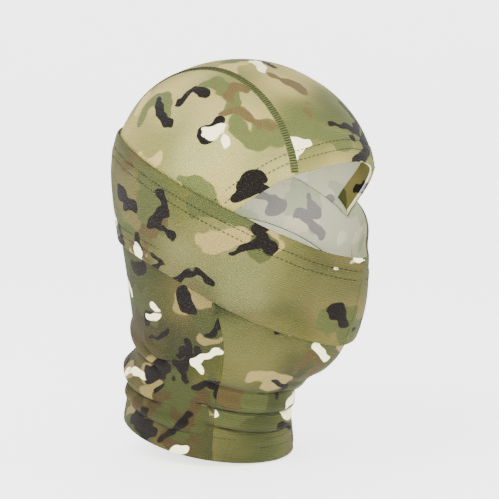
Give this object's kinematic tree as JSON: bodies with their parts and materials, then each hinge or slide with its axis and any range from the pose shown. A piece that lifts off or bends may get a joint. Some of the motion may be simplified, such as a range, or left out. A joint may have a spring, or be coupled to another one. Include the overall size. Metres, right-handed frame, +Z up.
{
  "type": "balaclava",
  "caption": "Knit balaclava with a panelled crown, eye opening, drop-down front mask and gathered neck gaiter",
  "frame": {"origin": "inside of the crown's top, the point that rests on the wearer's head", "axes": "+Z up, -Y the way the face looks, +X the wearer's left"},
  "size_m": [0.167, 0.2091, 0.282],
  "materials": {
    "crown_knit": "soft knit, camouflage print, matt",
    "band_knit": "soft knit, camouflage print, matt",
    "neck_knit": "soft knit, camouflage print, matt",
    "hem_knit": "pale reverse side of the knit, matt",
    "thread": "olive sewing thread, slightly glossy"
  },
  "bodies": {
    "hood": {"crown_center_panel": "crown_knit", "crown_side_panel_right": "crown_knit", "crown_side_panel_left": "crown_knit", "flatlock_seam_right": "thread", "flatlock_seam_left": "thread", "brow_hem": "hem_knit", "brow_stitch_outer": "thread", "brow_stitch_inner": "thread", "band_rear_panel": "band_knit", "band_rear_top_stitch_upper": "thread", "band_rear_top_stitch_lower": "thread", "band_rear_low_stitch_upper": "thread", "band_rear_low_stitch_lower": "thread", "neck_side_panel_right": "neck_knit", "neck_side_panel_left": "neck_knit", "chin_panel": "neck_knit", "neck_front_seam_right": "thread", "neck_front_seam_left": "thread", "neck_back_seam": "thread", "neck_hem": "hem_knit", "neck_hem_stitch_lower": "thread", "neck_hem_stitch_upper": "thread"},
    "mask": {"mask_panel_right": "band_knit", "mask_panel_left": "band_knit", "mask_front_seam": "thread", "mask_top_stitch_upper": "thread", "mask_top_stitch_lower": "thread"}
  },
  "joints": [
    {"name": "mask_drop", "type": "hinge", "parent": "hood", "child": "mask", "pos_m": [0, 0.0095, -0.143], "axis": [1, 0, 0], "range_deg": [0, 35]}
  ]
}
